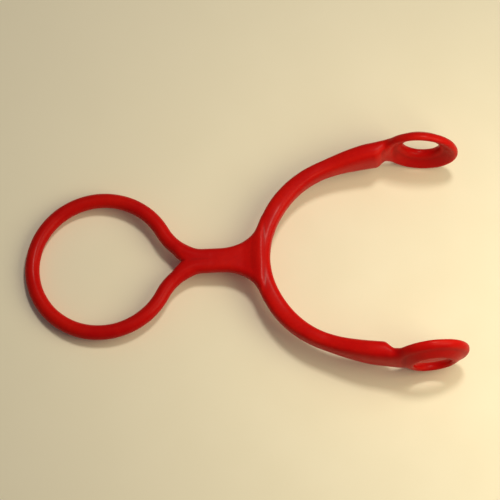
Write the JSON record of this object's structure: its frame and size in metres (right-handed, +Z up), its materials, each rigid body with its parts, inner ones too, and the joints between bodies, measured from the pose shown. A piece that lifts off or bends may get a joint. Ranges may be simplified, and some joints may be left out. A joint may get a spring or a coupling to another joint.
{
  "type": "frame grip",
  "caption": "Vinyl-coated steel grip: a finger ring, a short neck and a U-shaped yoke ending in two dished eyelets that face each other.",
  "frame": {"origin": "on the table, below the middle of the box round the grip as it lies", "axes": "+X from the finger ring to the eyelets, +Y to the left arm, +Z up from the table"},
  "size_m": [0.1541, 0.0852, 0.0265],
  "materials": {
    "vinyl": "satin gloss",
    "steel": "mill",
    "weld": "as welded"
  },
  "bodies": {
    "root": {"ring_rod": "steel", "yoke_strap": "steel", "eyelet_left": "steel", "eyelet_right": "steel", "crotch_weld": "weld", "neck_weld": "weld", "eyelet_weld_left": "weld", "eyelet_weld_right": "weld", "ring_coating": "vinyl", "neck_coating": "vinyl", "yoke_coating": "vinyl", "eyelet_coating_left": "vinyl", "eyelet_coating_right": "vinyl"}
  },
  "joints": []
}
